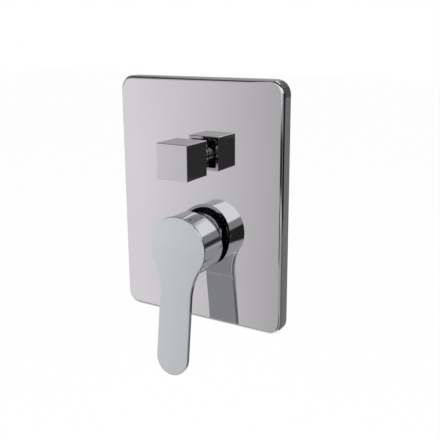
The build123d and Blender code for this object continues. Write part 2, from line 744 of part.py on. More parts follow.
# Valve body: two chambers on a cross of pipes, with fixing lugs behind
chamber_radius = cartridge_radius + slip_clearance
thread_bore_radius = nut_thread_radius + slip_clearance
body_radius = thread_bore_radius + chamber_wall
tower_bore_radius = headwork_thread_radius + slip_clearance
tower_radius = tower_bore_radius + tower_wall
pipe_out = -pipe_depth
ports = [
    Plane(origin=(-port_reach_side, pipe_depth, mixer_height), z_dir=(-1, 0, 0)),
    Plane(origin=(port_reach_side, pipe_depth, mixer_height), z_dir=(1, 0, 0)),
    Plane(origin=(0, pipe_depth, port_reach_top), z_dir=(0, 0, 1)),
    Plane(origin=(0, pipe_depth, -port_reach_bottom), z_dir=(0, 0, -1)),
]
with BuildPart() as valve_body:
    with BuildSketch(mixer_plane(pipe_out)):
        Circle(body_radius)
    extrude(amount=nut_thread_front - pipe_out)
    with BuildSketch(diverter_plane(pipe_out)):
        Circle(tower_radius)
    extrude(amount=tower_front - pipe_out)
    with BuildSketch(wall_plane(pipe_out)):
        with Locations((0, (mixer_height + diverter_height) / 2)):
            Rectangle(bridge_width, diverter_height - mixer_height)
    extrude(amount=bridge_front - pipe_out)
    with BuildSketch(Plane(origin=(0, pipe_depth, -port_reach_bottom))):
        Circle(trunk_radius)
    extrude(amount=port_reach_top + port_reach_bottom)
    with BuildSketch(ports[0]):
        Circle(trunk_radius)
    extrude(amount=-2 * port_reach_side)
    with BuildSketch(wall_plane(body_rear)):
        with Locations((0, lug_height)):
            SlotCenterToCenter(lug_spacing, lug_width)
    extrude(amount=lug_thickness)
    for port in ports:
        with BuildSketch(port):
            Circle(port_radius)
        extrude(amount=-port_length)
    port_edges = valve_body.edges().filter_by(GeomType.CIRCLE)
    chamfer(port_edges.filter_by(lambda edge: math.isclose(edge.radius, port_radius)), cast_edge)
    for rim_radius in (body_radius, tower_radius):
        rims = valve_body.edges().filter_by(GeomType.CIRCLE)
        rims = rims.filter_by(lambda edge: math.isclose(edge.radius, rim_radius))
        chamfer(rims.sort_by(Axis.Y)[0], cast_edge)
    for port in ports:
        with BuildSketch(port):
            Circle(port_thread_radius)
        extrude(amount=-port_thread_length, mode=Mode.SUBTRACT)
        with BuildSketch(port):
            Circle(port_passage_radius)
        extrude(amount=-port_thread_length - port_passage_length, mode=Mode.SUBTRACT)
    with BuildSketch(mixer_section):
        Polygon(
            (0, chamber_floor),
            (chamber_radius, chamber_floor),
            (chamber_radius, cartridge_shoulder),
            (thread_bore_radius, cartridge_shoulder),
            (thread_bore_radius, nut_thread_front),
            (0, nut_thread_front),
            align=None,
        )
    revolve(axis=mixer_axis, mode=Mode.SUBTRACT)
    with BuildSketch(mixer_plane(chamber_floor)):
        with PolarLocations(base_port_offset, 3, start_angle=90):
            Circle(base_port_radius)
        with GridLocations(base_peg_spacing, 0, 2, 1):
            Circle(base_peg_radius + slip_clearance)
    extrude(amount=-chamber_floor_thickness, mode=Mode.SUBTRACT)
    with BuildSketch(diverter_section):
        Polygon(
            (0, diverter_floor),
            (headwork_cage_radius + slip_clearance, diverter_floor),
            (headwork_cage_radius + slip_clearance, headwork_thread_rear - slip_clearance),
            (tower_bore_radius, headwork_thread_rear - slip_clearance),
            (tower_bore_radius, tower_front),
            (0, tower_front),
            align=None,
        )
    revolve(axis=diverter_axis, mode=Mode.SUBTRACT)
    with BuildSketch(wall_plane(body_rear)):
        with Locations((0, lug_height)):
            with GridLocations(lug_spacing, 0, 2, 1):
                Circle(lug_hole_radius)
    extrude(amount=lug_thickness, mode=Mode.SUBTRACT)
write(valve_body, "valve_body")
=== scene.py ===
import json
import logging
import math
from dataclasses import dataclass, replace
from enum import Enum
from typing import Any, ClassVar

import bpy
from mathutils import Matrix, Vector


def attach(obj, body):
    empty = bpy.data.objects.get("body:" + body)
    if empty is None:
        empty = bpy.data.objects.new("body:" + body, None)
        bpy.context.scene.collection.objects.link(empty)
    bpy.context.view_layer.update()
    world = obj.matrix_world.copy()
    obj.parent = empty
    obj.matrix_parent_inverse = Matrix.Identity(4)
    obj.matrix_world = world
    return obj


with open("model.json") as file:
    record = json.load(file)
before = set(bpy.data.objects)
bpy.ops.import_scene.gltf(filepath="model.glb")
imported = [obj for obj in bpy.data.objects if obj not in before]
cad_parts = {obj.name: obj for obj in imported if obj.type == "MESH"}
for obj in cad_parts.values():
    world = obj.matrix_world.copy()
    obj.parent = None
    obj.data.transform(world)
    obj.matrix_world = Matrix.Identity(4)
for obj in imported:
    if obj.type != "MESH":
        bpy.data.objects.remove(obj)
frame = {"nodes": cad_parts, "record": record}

LOG = logging.getLogger("shower_mixer")
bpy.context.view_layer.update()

# Heights of the two axes that run out of the wall, in metres above the plate's centre
MIXER_HEIGHT = -0.0265
DIVERTER_HEIGHT = 0.0355

Span = tuple[float, float]
Triple = tuple[float, float, float]


class Body(Enum):
    """The rigid body that the added piece rides on."""

    FIXED = "fixed_valve"


class Hollow(Enum):
    """The outline of a plated piece's dull inside."""

    SQUARE = "square"
    ROUND = "round"


class Ray(Enum):
    """Ray kinds that see the plain white surroundings."""

    CAMERA = "Is Camera Ray"
    GLOSSY = "Is Glossy Ray"
    TRANSMISSION = "Is Transmission Ray"


class NodeSheet:
    """A node tree with short calls for adding and joining nodes."""

    def __init__(self, tree: bpy.types.NodeTree) -> None:
        """Takes the tree and empties it.

        Args:
            tree: the tree to draw in.
        """
        self.tree = tree
        tree.nodes.clear()

    def add(self, kind: str, inputs: dict[Any, Any] | None = None, **settings: Any) -> bpy.types.Node:
        """Adds a node.

        Args:
            kind: the node's type name.
            inputs: socket name or number to a value, or to an output socket to join.
            settings: properties of the node itself.

        Returns:
            The new node.
        """
        node = self.tree.nodes.new(kind)
        for name, value in settings.items():
            setattr(node, name, value)
        for key, value in (inputs or {}).items():
            if isinstance(value, bpy.types.NodeSocket):
                self.tree.links.new(value, node.inputs[key])
            else:
                node.inputs[key].default_value = value
        return node

    def maths(self, operation: str, first: Any, second: Any = 0.0) -> bpy.types.NodeSocket:
        """A Math node of two values or sockets.

        Args:
            operation: the Math node's operation.
            first: a number or a socket.
            second: a number or a socket.

        Returns:
            The result's socket.
        """
        return self.add("ShaderNodeMath", {0: first, 1: second}, operation=operation).outputs[0]

    def spread(self, value: Any, read: Span, result: Span) -> bpy.types.NodeSocket:
        """A smooth Map Range from one span to another.

        Args:
            value: the socket to map.
            read: start and end of the span that is read.
            result: results at the start and at the end.

        Returns:
            The result's socket.
        """
        ends = {"From Min": read[0], "From Max": read[1], "To Min": result[0], "To Max": result[1]}
        node = self.add("ShaderNodeMapRange", {"Value": value, **ends}, interpolation_type="SMOOTHSTEP")
        return node.outputs["Result"]

    def blend(self, share: Any, first: Any, second: Any) -> bpy.types.NodeSocket:
        """Mixes two colours.

        Args:
            share: how much of the second colour shows.
            first: a colour or a socket.
            second: a colour or a socket.

        Returns:
            The mixed colour's socket.
        """
        return self.add("ShaderNodeMix", {0: share, 6: first, 7: second}, data_type="RGBA").outputs[2]


def tone(red: float, green: float, blue: float) -> tuple[float, float, float, float]:
    """A linear colour with full cover.

    Args:
        red: level of red.
        green: level of green.
        blue: level of blue.

    Returns:
        The colour with an alpha of 1.
    """
    return (red, green, blue, 1.0)


def heading(azimuth: float, elevation: float) -> Vector:
    """The way from the object to something round it.

    Args:
        azimuth: degrees to the right of straight in front.
        elevation: degrees above the horizon.

    Returns:
        A unit vector.
    """
    turn, rise = math.radians(azimuth), math.radians(elevation)
    return Vector((math.sin(turn) * math.cos(rise), -math.cos(turn) * math.cos(rise), math.sin(rise)))


def show(name: str, data: bpy.types.ID) -> bpy.types.Object:
    """Puts a mesh, lamp or camera into the scene.

    Args:
        name: the object's name.
        data: what the object shows.

    Returns:
        The new object, at the origin.
    """
    thing = bpy.data.objects.new(name, data)
    bpy.context.scene.collection.objects.link(thing)
    return thing


@dataclass(frozen=True)
class Finish:
    """A finish of the object, as one procedural material on Object coordinates."""

    UNIT: ClassVar[Span] = (0.0, 1.0)
    PATCH_SPAN: ClassVar[Span] = (0.35, 0.65)
    GRAIN_SPAN: ClassVar[Span] = (0.3, 0.7)

    name: str
    pale: Triple
    deep: Triple
    metallic: float
    roughness: Span
    patch_scale: float = 0.0
    grain_scale: float = 0.0
    grain_height: float = 0.0
    patch_detail: float = 3.0
    grain_detail: float = 2.0

    def build(self) -> bpy.types.Material:
        """Makes the material.

        Returns:
            The new material.
        """
        material = bpy.data.materials.new(self.name)
        material.use_nodes = True
        sheet = NodeSheet(material.node_tree)
        where = sheet.add("ShaderNodeTexCoord").outputs["Object"]
        shader = sheet.add("ShaderNodeBsdfPrincipled", {"Metallic": self.metallic})
        output = sheet.add("ShaderNodeOutputMaterial", {"Surface": shader.outputs[0]})
        output.is_active_output = True
        self.paint(sheet, where, shader)
        return material

    def noise(self, sheet: NodeSheet, where: Any, scale: float, detail: float) -> bpy.types.NodeSocket:
        """A noise value on the piece.

        Args:
            sheet: the material's tree.
            where: coordinates to read.
            scale: features in a metre.
            detail: octaves.

        Returns:
            The noise's socket.
        """
        inputs = {"Vector": where, "Scale": scale, "Detail": detail}
        return sheet.add("ShaderNodeTexNoise", inputs).outputs[0]

    def patches(self, sheet: NodeSheet, where: Any) -> bpy.types.NodeSocket:
        """The skin's colour, in soft patches of its two tones.

        Args:
            sheet: the material's tree.
            where: coordinates to read.

        Returns:
            The colour's socket.
        """
        noise = self.noise(sheet, where, self.patch_scale, self.patch_detail)
        share = sheet.spread(noise, self.PATCH_SPAN, self.UNIT)
        return sheet.blend(share, tone(*self.pale), tone(*self.deep))

    def grain(self, sheet: NodeSheet, where: Any) -> bpy.types.NodeSocket:
        """The skin's fine grain.

        Args:
            sheet: the material's tree.
            where: coordinates to read.

        Returns:
            The grain's socket.
        """
        return self.noise(sheet, where, self.grain_scale, self.grain_detail)

    def paint(self, sheet: NodeSheet, where: Any, shader: bpy.types.Node) -> None:
        """Joins colour, roughness and grain to the shader.

        Args:
            sheet: the material's tree.
            where: coordinates to read.
            shader: the Principled shader.
        """
        grain = self.grain(sheet, where)
        colour = self.patches(sheet, where)
        self.join(sheet, shader, colour, sheet.spread(grain, self.GRAIN_SPAN, self.roughness), grain)

    def join(
        self, sheet: NodeSheet, shader: bpy.types.Node, colour: Any, roughness: Any, height: Any
    ) -> None:
        """Joins the results to the shader.

        Args:
            sheet: the material's tree.
            shader: the Principled shader.
            colour: the base colour's socket.
            roughness: the roughness socket.
            height: the relief from 0 to 1, which shows where the finish has a grain height.
        """
        sheet.tree.links.new(colour, shader.inputs["Base Color"])
        sheet.tree.links.new(roughness, shader.inputs["Roughness"])
        if self.grain_height:
            relief = {"Height": height, "Strength": 1.0, "Distance": self.grain_height}
            bump = sheet.add("ShaderNodeBump", relief)
            sheet.tree.links.new(bump.outputs[0], shader.inputs["Normal"])


@dataclass(frozen=True)
class PlatedFinish(Finish):
    """Polished plating over a hollow piece that stays dull inside, where a dark inside tone is also painted
    shade in the hollow.
    """

    hollow: Hollow = Hollow.ROUND
    axis_height: float = 0.0
    hollow_reach: Span = (0.0, 0.0)
    hollow_floor: float = 0.0
    # Default inside tone, near black: dull unplated metal darkened as painted shade inside the lever's
    # hollow.
    raw_and_shade: Triple = (0.10, 0.10, 0.105)
    raw_rough: float = 0.55

    def inside(self, sheet: NodeSheet, where: Any) -> bpy.types.NodeSocket:
        """Where the surface belongs to the hollow.

        Args:
            sheet: the material's tree.
            where: coordinates to read.

        Returns:
            A socket that is 1 in the hollow and 0 outside.
        """
        across, depth, height = sheet.add("ShaderNodeSeparateXYZ", {0: where}).outputs
        from_axis = sheet.maths("SUBTRACT", height, self.axis_height)
        side = sheet.maths("DIVIDE", sheet.maths("ABSOLUTE", across), self.hollow_reach[0])
        rise = sheet.maths("DIVIDE", sheet.maths("ABSOLUTE", from_axis), self.hollow_reach[1])
        if self.hollow is Hollow.SQUARE:
            reach = sheet.maths("MAXIMUM", side, rise)
        else:
            squares = sheet.maths("ADD", sheet.maths("POWER", side, 2.0), sheet.maths("POWER", rise, 2.0))
            reach = sheet.maths("SQRT", squares)
        within = sheet.maths("LESS_THAN", reach, 1.0)
        behind = sheet.maths("GREATER_THAN", depth, -self.hollow_floor)
        return sheet.maths("MULTIPLY", within, behind)

    def paint(self, sheet: NodeSheet, where: Any, shader: bpy.types.Node) -> None:
        """Joins the plating, and the dull metal inside the hollow with its painted shade, to the shader.

        Args:
            sheet: the material's tree.
            where: coordinates to read.
            shader: the Principled shader.
        """
        inside = self.inside(sheet, where)
        grain = self.grain(sheet, where)
        colour = sheet.blend(inside, self.patches(sheet, where), tone(*self.raw_and_shade))
        plated_rough = sheet.spread(grain, self.GRAIN_SPAN, self.roughness)
        roughness = sheet.maths("MAXIMUM", plated_rough, sheet.maths("MULTIPLY", inside, self.raw_rough))
        self.join(sheet, shader, colour, roughness, grain)


@dataclass(frozen=True)
class CastFinish(Finish):
    """A sand casting with a pitted skin, and faces cut bright at the pipe ends."""

    cut_side: float = 0.0428
    cut_top: float = 0.0758
    cut_gain: float = 1.12
    cut_rough_share: float = 0.55
    cut_pit_share: float = 0.08

    def paint(self, sheet: NodeSheet, where: Any, shader: bpy.types.Node) -> None:
        """Joins the cast skin, and the brighter and smoother cut faces, to the shader.

        Args:
            sheet: the material's tree.
            where: coordinates to read.
            shader: the Principled shader.
        """
        across, _, height = sheet.add("ShaderNodeSeparateXYZ", {0: where}).outputs
        cut_across = sheet.maths("GREATER_THAN", sheet.maths("ABSOLUTE", across), self.cut_side)
        cut_upright = sheet.maths("GREATER_THAN", sheet.maths("ABSOLUTE", height), self.cut_top)
        cut = sheet.maths("MAXIMUM", cut_across, cut_upright)
        grain = self.grain(sheet, where)
        bright = tuple(min(1.0, value * self.cut_gain) for value in self.pale)
        colour = sheet.blend(cut, self.patches(sheet, where), tone(*bright))
        skin_rough = sheet.spread(grain, self.GRAIN_SPAN, self.roughness)
        smoothing = sheet.spread(cut, self.UNIT, (1.0, self.cut_rough_share))
        flattening = sheet.spread(cut, self.UNIT, (1.0, self.cut_pit_share))
        pits = sheet.maths("MULTIPLY", grain, flattening)
        self.join(sheet, shader, colour, sheet.maths("MULTIPLY", skin_rough, smoothing), pits)


@dataclass(frozen=True)
class TurnedFinish(Finish):
    """A piece off the lathe, with fine rings about its own axis along Y."""

    RING_SHARE: ClassVar[Span] = (0.4, 1.0)

    axis_height: float = 0.0
    ring_wobble: float = 0.6

    def paint(self, sheet: NodeSheet, where: Any, shader: bpy.types.Node) -> None:
        """Joins the lathe's rings to the shader.

        Args:
            sheet: the material's tree.
            where: coordinates to read.
            shader: the Principled shader.
        """
        axis = (0.0, 0.0, -self.axis_height)
        shifted = sheet.add("ShaderNodeMapping", {"Vector": where, "Location": axis}).outputs[0]
        rings = sheet.add(
            "ShaderNodeTexWave",
            {
                "Vector": shifted,
                "Scale": self.grain_scale,
                "Distortion": self.ring_wobble,
                "Detail": self.grain_detail,
            },
            wave_type="RINGS",
            rings_direction="Y",
        ).outputs["Fac"]
        noise = self.noise(sheet, where, self.patch_scale, self.patch_detail)
        share = sheet.maths("MULTIPLY", sheet.spread(noise, self.GRAIN_SPAN, self.RING_SHARE), rings)
        colour = sheet.blend(share, tone(*self.pale), tone(*self.deep))
        self.join(sheet, shader, colour, sheet.spread(rings, self.UNIT, self.roughness), rings)


@dataclass(frozen=True)
class FoamFinish(Finish):
    """Closed-cell foam with small round cells."""

    CELL_SPAN: ClassVar[Span] = (0.0, 0.6)

    def paint(self, sheet: NodeSheet, where: Any, shader: bpy.types.Node) -> None:
        """Joins the cells to the shader.

        Args:
            sheet: the material's tree.
            where: coordinates to read.
            shader: the Principled shader.
        """
        voronoi = sheet.add("ShaderNodeTexVoronoi", {"Vector": where, "Scale": self.grain_scale})
        cells = voronoi.outputs["Distance"]
        depth = sheet.spread(cells, self.CELL_SPAN, self.UNIT)
        colour = sheet.blend(depth, tone(*self.deep), tone(*self.pale))
        self.join(sheet, shader, colour, sheet.spread(cells, self.CELL_SPAN, self.roughness), depth)


class Finishes:
    """All the finishes of the object, each made once."""

    PLATE = PlatedFinish(
        "plate_polished_chrome", pale=(0.81, 0.785, 0.81), deep=(0.785, 0.762, 0.787),
        metallic=1.0, roughness=(0.015, 0.035), patch_scale=9.0, grain_scale=700.0,
        hollow=Hollow.SQUARE, hollow_reach=(0.0656, 0.0886), hollow_floor=0.0086,
        raw_and_shade=(0.46, 0.455, 0.45), raw_rough=0.42,
    )
    # Chrome of the dome cap and the diverter sleeve, painted dark: painted shade for the gaps behind the
    # lever head and the knob.
    TRIM_PAINTED_SHADE = Finish(
        "trim_chrome_painted_shade", pale=(0.27, 0.27, 0.275), deep=(0.24, 0.24, 0.245),
        metallic=1.0, roughness=(0.05, 0.09), patch_scale=40.0, grain_scale=900.0,
    )
    KNOB = PlatedFinish(
        "knob_polished_chrome", pale=(0.76, 0.736, 0.76), deep=(0.735, 0.713, 0.737),
        metallic=1.0, roughness=(0.02, 0.045), patch_scale=60.0, grain_scale=900.0,
        hollow=Hollow.SQUARE, axis_height=DIVERTER_HEIGHT, hollow_reach=(0.01035, 0.01035),
        hollow_floor=0.0401, raw_and_shade=(0.42, 0.41, 0.42),
    )
    # The lever's hollow takes the near-black default inside tone, which is painted shade in its recess.
    HANDLE = PlatedFinish(
        "handle_polished_chrome", pale=(0.785, 0.816, 0.832), deep=(0.764, 0.80, 0.816),
        metallic=1.0, roughness=(0.05, 0.09), patch_scale=25.0, grain_scale=800.0,
        hollow=Hollow.ROUND, axis_height=MIXER_HEIGHT, hollow_reach=(0.0209, 0.0209),
        hollow_floor=0.0357,
    )
    CAST_BRASS = CastFinish(
        "cast_brass", pale=(0.62, 0.46, 0.22), deep=(0.48, 0.33, 0.14),
        metallic=1.0, roughness=(0.34, 0.55), patch_scale=60.0, patch_detail=4.0,
        grain_scale=1500.0, grain_detail=4.0, grain_height=0.00012,
    )
    CARTRIDGE_BRASS = TurnedFinish(
        "cartridge_turned_brass", pale=(0.70, 0.53, 0.26), deep=(0.60, 0.43, 0.19),
        metallic=1.0, roughness=(0.16, 0.30), patch_scale=90.0, grain_scale=420.0,
        grain_height=0.00001, axis_height=MIXER_HEIGHT,
    )
    DIVERTER_BRASS = replace(CARTRIDGE_BRASS, name="diverter_turned_brass", axis_height=DIVERTER_HEIGHT)
    STEEL = Finish(
        "plain_stainless", pale=(0.50, 0.51, 0.52), deep=(0.38, 0.39, 0.40),
        metallic=1.0, roughness=(0.22, 0.38), patch_scale=400.0, grain_scale=3000.0, grain_height=0.00001,
    )
    PLASTIC = Finish(
        "moulded_cartridge_plastic", pale=(0.80, 0.81, 0.82), deep=(0.74, 0.75, 0.77),
        metallic=0.0, roughness=(0.38, 0.52), patch_scale=50.0, grain_scale=2500.0, grain_height=0.00002,
    )
    CERAMIC = Finish(
        "lapped_ceramic", pale=(0.86, 0.85, 0.82), deep=(0.80, 0.79, 0.76),
        metallic=0.0, roughness=(0.10, 0.20), patch_scale=300.0, grain_scale=5000.0,
    )
    RUBBER = Finish(
        "moulded_black_rubber", pale=(0.022, 0.022, 0.023), deep=(0.014, 0.014, 0.015),
        metallic=0.0, roughness=(0.50, 0.68), patch_scale=200.0, grain_scale=3500.0, grain_height=0.00003,
    )
    FOAM = FoamFinish(
        "closed_cell_foam", pale=(0.085, 0.085, 0.09), deep=(0.03, 0.03, 0.032),
        metallic=0.0, roughness=(0.95, 0.80), grain_scale=1400.0, grain_height=0.0002,
    )
    PLUG = Finish(
        "plug_grey_plastic", pale=(0.36, 0.37, 0.39), deep=(0.30, 0.31, 0.33),
        metallic=0.0, roughness=(0.25, 0.40), patch_scale=300.0, grain_scale=3000.0, grain_height=0.00001,
    )

    _made: ClassVar[dict[str, bpy.types.Material]] = {}

    @classmethod
    def get(cls, finish: Finish) -> bpy.types.Material:
        """The finish's material, made on its first use.

        Args:
            finish: the finish.

        Returns:
            Its material.
        """
        if finish.name not in cls._made:
            cls._made[finish.name] = finish.build()
        return cls._made[finish.name]


@dataclass
class SubAssembly:
    """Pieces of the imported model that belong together, with the finish of each."""

    title: str
    finishes: dict[str, Finish]

    def dress(self) -> None:
        """Gives every piece of the sub-assembly its finish."""
        for name, finish in self.finishes.items():
            piece = frame["nodes"][name]
            piece.data.materials.clear()
            piece.data.materials.append(Finishes.get(finish))
            LOG.info("%s: %s in %s", self.title, name, finish.name)

    def build(self) -> None:
        """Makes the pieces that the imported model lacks; most sub-assemblies have none."""


@dataclass
class PortThreads:
    """Pipe threads inside the valve's ports, made by one node tree."""

    mouths: tuple[tuple[Triple, Triple], ...]
    radius: float
    pitch: float = 0.001814
    turns: float = 7.0
    ridge: float = 0.00085
    set_in: float = 0.0012
    steps: int = 40
    ridge_sides: int = 4

    def inputs(self) -> dict[str, float]:
        """The values that the node tree takes from outside.

        Returns:
            Each input's value under its name.
        """
        return {
            "Radius": self.radius,
            "Length": self.pitch * self.turns,
            "Turns": self.turns,
            "Ridge": self.ridge,
        }

    def tree(self, material: bpy.types.Material) -> bpy.types.NodeTree:
        """The node tree of a helical ridge set at every port mouth.

        Args:
            material: the ridge's material.

        Returns:
            The new tree.
        """
        group = bpy.data.node_groups.new("port_thread", "GeometryNodeTree")
        face = group.interface
        face.new_socket("Geometry", in_out="INPUT", socket_type="NodeSocketGeometry")
        for name in self.inputs():
            face.new_socket(name, in_out="INPUT", socket_type="NodeSocketFloat")
        face.new_socket("Geometry", in_out="OUTPUT", socket_type="NodeSocketGeometry")
        sheet = NodeSheet(group)
        given = sheet.add("NodeGroupInput").outputs
        spiral = sheet.add(
            "GeometryNodeCurveSpiral",
            {
                "Resolution": self.steps,
                "Rotations": given["Turns"],
                "Start Radius": given["Radius"],
                "End Radius": given["Radius"],
                "Height": given["Length"],
            },
        )
        profile = sheet.add(
            "GeometryNodeCurvePrimitiveCircle", {"Resolution": self.ridge_sides, "Radius": given["Ridge"]}
        )
        ridge = sheet.add(
            "GeometryNodeCurveToMesh",
            {"Curve": spiral.outputs[0], "Profile Curve": profile.outputs[0], "Fill Caps": True},
        )
        points = sheet.add("GeometryNodeMeshToPoints", {"Mesh": given["Geometry"]})
        inward = sheet.add("GeometryNodeInputNamedAttribute", {"Name": "inward"}, data_type="FLOAT_VECTOR")
        turn = sheet.add("FunctionNodeAlignRotationToVector", {"Vector": inward.outputs[0]}, axis="Z")
        placed = sheet.add(
            "GeometryNodeInstanceOnPoints",
            {"Points": points.outputs[0], "Instance": ridge.outputs[0], "Rotation": turn.outputs[0]},
        )
        whole = sheet.add("GeometryNodeRealizeInstances", {"Geometry": placed.outputs[0]})
        painted = sheet.add("GeometryNodeSetMaterial", {"Geometry": whole.outputs[0], "Material": material})
        sheet.add("NodeGroupOutput", {"Geometry": painted.outputs[0]})
        return group

    def make(self, material: bpy.types.Material) -> bpy.types.Object:
        """Makes the threads as one plain mesh.

        Args:
            material: the threads' material.

        Returns:
            The finished object, at the origin.
        """
        seeds = bpy.data.meshes.new("port_mouths")
        starts = [Vector(mouth) + Vector(inward) * self.set_in for mouth, inward in self.mouths]
        seeds.from_pydata(starts, [], [])
        directions = seeds.attributes.new("inward", "FLOAT_VECTOR", "POINT")
        for item, (_, inward) in zip(directions.data, self.mouths):
            item.vector = inward
        holder = show("port_mouths", seeds)
        modifier = holder.modifiers.new("threads", "NODES")
        modifier.node_group = self.tree(material)
        values = self.inputs()
        for socket in modifier.node_group.interface.items_tree:
            if socket.name in values:
                modifier[socket.identifier] = values[socket.name]
        evaluated = holder.evaluated_get(bpy.context.evaluated_depsgraph_get())
        mesh = bpy.data.meshes.new_from_object(evaluated)
        bpy.data.objects.remove(holder)
        return show("port_threads", mesh)


class TrimPlate(SubAssembly):
    """The polished plate, its seal, the two sleeves and the rings round them."""

    def __init__(self) -> None:
        """Names the plate's pieces and their finishes."""
        super().__init__(
            "trim plate",
            {
                "face_plate": Finishes.PLATE,
                "plate_seal": Finishes.FOAM,
                "cap_ring": Finishes.RUBBER,
                "sleeve_ring": Finishes.RUBBER,
                # The dome cap and the sleeve take the dark chrome, which is painted shade in the gaps.
                "dome_cap": Finishes.TRIM_PAINTED_SHADE,
                "diverter_sleeve": Finishes.TRIM_PAINTED_SHADE,
            },
        )


class LeverSet(SubAssembly):
    """The lever handle, its screw and plug, and the spindle inside it."""

    def __init__(self) -> None:
        """Names the lever's pieces and their finishes."""
        super().__init__(
            "lever",
            {
                "lever_handle": Finishes.HANDLE,
                "handle_screw": Finishes.STEEL,
                "index_plug": Finishes.PLUG,
                "lever_spindle": Finishes.CARTRIDGE_BRASS,
            },
        )


class Cartridge(SubAssembly):
    """The mixing cartridge with its discs, collar, base and nut."""

    def __init__(self) -> None:
        """Names the cartridge's pieces and their finishes."""
        super().__init__(
            "cartridge",
            {
                "turning_collar": Finishes.PLASTIC,
                "pivot_pin": Finishes.STEEL,
                "disc_carrier": Finishes.PLASTIC,
                "sliding_disc": Finishes.CERAMIC,
                "fixed_disc": Finishes.CERAMIC,
                "cartridge_housing": Finishes.PLASTIC,
                "cartridge_base": Finishes.PLASTIC,
                "base_seals": Finishes.RUBBER,
                "cartridge_nut": Finishes.CARTRIDGE_BRASS,
            },
        )


class DiverterSet(SubAssembly):
    """The square knob, its spindle and the headwork behind it."""

    def __init__(self) -> None:
        """Names the diverter's pieces and their finishes."""
        super().__init__(
            "diverter",
            {
                "diverter_knob": Finishes.KNOB,
                "knob_screw": Finishes.STEEL,
                "diverter_spindle": Finishes.DIVERTER_BRASS,
                "spindle_rings": Finishes.RUBBER,
                "diverter_turning_disc": Finishes.CERAMIC,
                "diverter_fixed_disc": Finishes.CERAMIC,
                "diverter_seal": Finishes.RUBBER,
                "diverter_headwork": Finishes.DIVERTER_BRASS,
            },
        )


class ValveBody(SubAssembly):
    """The brass casting behind the plate, with the threads of its four ports."""

    def __init__(self) -> None:
        """Names the casting and its finish."""
        super().__init__("valve body", {"valve_body": Finishes.CAST_BRASS})

    def build(self) -> None:
        """Makes the port threads from the record's threaded holes."""
        holes = [mount for mount in frame["record"]["mounts"] if mount["kind"] == "threaded_hole"]
        mouths = tuple((tuple(hole["pos_m"]), tuple(-value for value in hole["axis"])) for hole in holes)
        threads = PortThreads(mouths, radius=holes[0]["dims"]["r_mm"] / 1000)
        piece = threads.make(Finishes.get(Finishes.CAST_BRASS))
        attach(piece, Body.FIXED.value)
        LOG.info("%s: %s made", self.title, piece.name)


@dataclass(frozen=True)
class Card:
    """A studio card that the metal mirrors, as a patch of a sphere round the object.

    Azimuth, elevation and feather are in degrees. The glow runs from the first level at the card's left
    to the second at its right, and the feather is how wide its borders fade.
    """

    name: str
    azimuth: Span
    elevation: Span
    levels: Span
    distance: float = 0.8
    centre: Triple = (0.0, 0.0, 0.0)
    feather: float = 0.0
    steps: int = 24

    def material(self) -> bpy.types.Material:
        """A glow that runs from one level to the other across the card.

        Returns:
            The new material.
        """
        material = bpy.data.materials.new(self.name)
        material.use_nodes = True
        sheet = NodeSheet(material.node_tree)
        place = sheet.add("ShaderNodeUVMap", uv_map="across")
        across, up, _ = sheet.add("ShaderNodeSeparateXYZ", {0: place.outputs[0]}).outputs
        level = sheet.add(
            "ShaderNodeMapRange", {"Value": across, "To Min": self.levels[0], "To Max": self.levels[1]}
        ).outputs[0]
        surface = sheet.add("ShaderNodeEmission", {"Strength": level}).outputs[0]
        if self.feather:
            clear = sheet.add("ShaderNodeBsdfTransparent").outputs[0]
            mask = self.mask(sheet, across, up)
            surface = sheet.add("ShaderNodeMixShader", {0: mask, 1: clear, 2: surface}).outputs[0]
        sheet.add("ShaderNodeOutputMaterial", {"Surface": surface})
        return material

    def mask(self, sheet: NodeSheet, across: Any, up: Any) -> bpy.types.NodeSocket:
        """How solid the card is, fading to nothing at its borders.

        Args:
            sheet: the material's tree.
            across: place across the card, from 0 to 1.
            up: place up the card, from 0 to 1.

        Returns:
            The mask's socket.
        """
        margins = []
        for place, (low, high) in ((across, self.azimuth), (up, self.elevation)):
            nearest = sheet.maths("MINIMUM", place, sheet.maths("SUBTRACT", 1.0, place))
            margins.append(sheet.maths("MULTIPLY", nearest, high - low))
        return sheet.spread(sheet.maths("MINIMUM", *margins), (0.0, self.feather), (0.0, 1.0))

    def point(self, across: float, up: float) -> Vector:
        """A point of the card.

        Args:
            across: place across the card, from 0 to 1.
            up: place up the card, from 0 to 1.

        Returns:
            The point in metres.
        """
        azimuth = self.azimuth[0] + across * (self.azimuth[1] - self.azimuth[0])
        elevation = self.elevation[0] + up * (self.elevation[1] - self.elevation[0])
        return Vector(self.centre) + heading(azimuth, elevation) * self.distance

    def make(self) -> None:
        """Hangs the card where only reflections see it."""
        count = self.steps + 1
        shares = [step / self.steps for step in range(count)]
        starts = [row * count + column for row in range(self.steps) for column in range(self.steps)]
        faces = [(start, start + 1, start + count + 1, start + count) for start in starts]
        mesh = bpy.data.meshes.new(self.name)
        mesh.from_pydata([self.point(across, up) for up in shares for across in shares], [], faces)
        layer = mesh.uv_layers.new(name="across")
        for loop in mesh.loops:
            row, column = divmod(loop.vertex_index, count)
            layer.data[loop.index].uv = (shares[column], shares[row])
        mesh.materials.append(self.material())
        card = show(self.name, mesh)
        card.visible_camera = False
        card.visible_diffuse = False
        card.visible_shadow = False


@dataclass(frozen=True)
class Softbox:
    """A square area lamp aimed at the object."""

    name: str
    azimuth: float
    elevation: float
    distance: float
    size: float
    power: float

    def make(self) -> None:
        """Hangs the lamp."""
        lamp = bpy.data.lights.new(self.name, "AREA")
        lamp.size = self.size
        lamp.energy = self.power
        holder = show(self.name, lamp)
        way = heading(self.azimuth, self.elevation)
        holder.location = way * self.distance
        holder.rotation_euler = way.to_track_quat("Z", "Y").to_euler()


